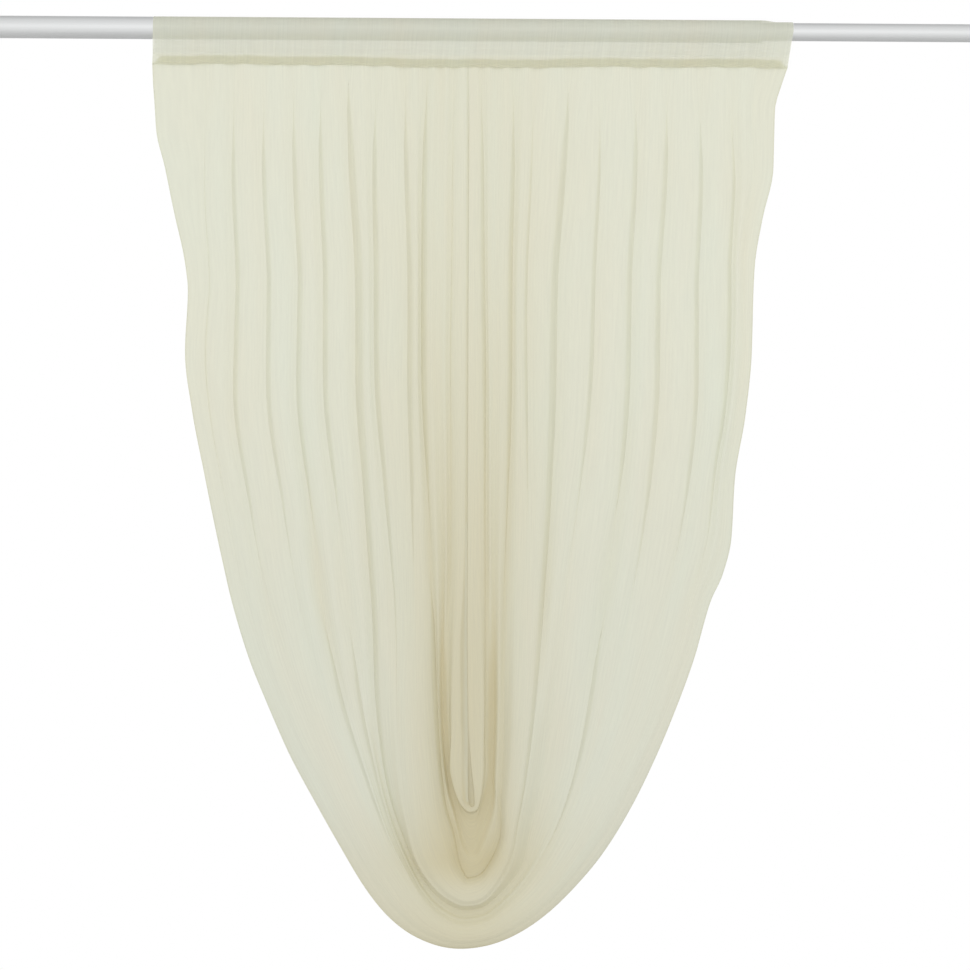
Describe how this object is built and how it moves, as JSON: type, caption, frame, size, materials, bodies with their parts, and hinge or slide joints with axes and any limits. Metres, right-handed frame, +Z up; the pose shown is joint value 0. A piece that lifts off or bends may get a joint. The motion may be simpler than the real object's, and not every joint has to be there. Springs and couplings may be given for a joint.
{
  "type": "swag valance and pole",
  "caption": "Sheer voile swag valance, a pleated panel hung in a deep U from its rod pocket, with the telescopic aluminium pole it hangs on.",
  "frame": {"origin": "on the pole's axis, at the middle of the swag", "axes": "+X along the pole to the right, +Y away from the room, +Z up"},
  "size_m": [1.565, 0.0586, 1.4579],
  "materials": {
    "pole": "satin",
    "voile": "sheer plain weave"
  },
  "bodies": {
    "root": {"pole_outer": "pole", "pole_inner": "pole", "header_casing": "voile", "swag_drape": "voile"}
  },
  "joints": []
}
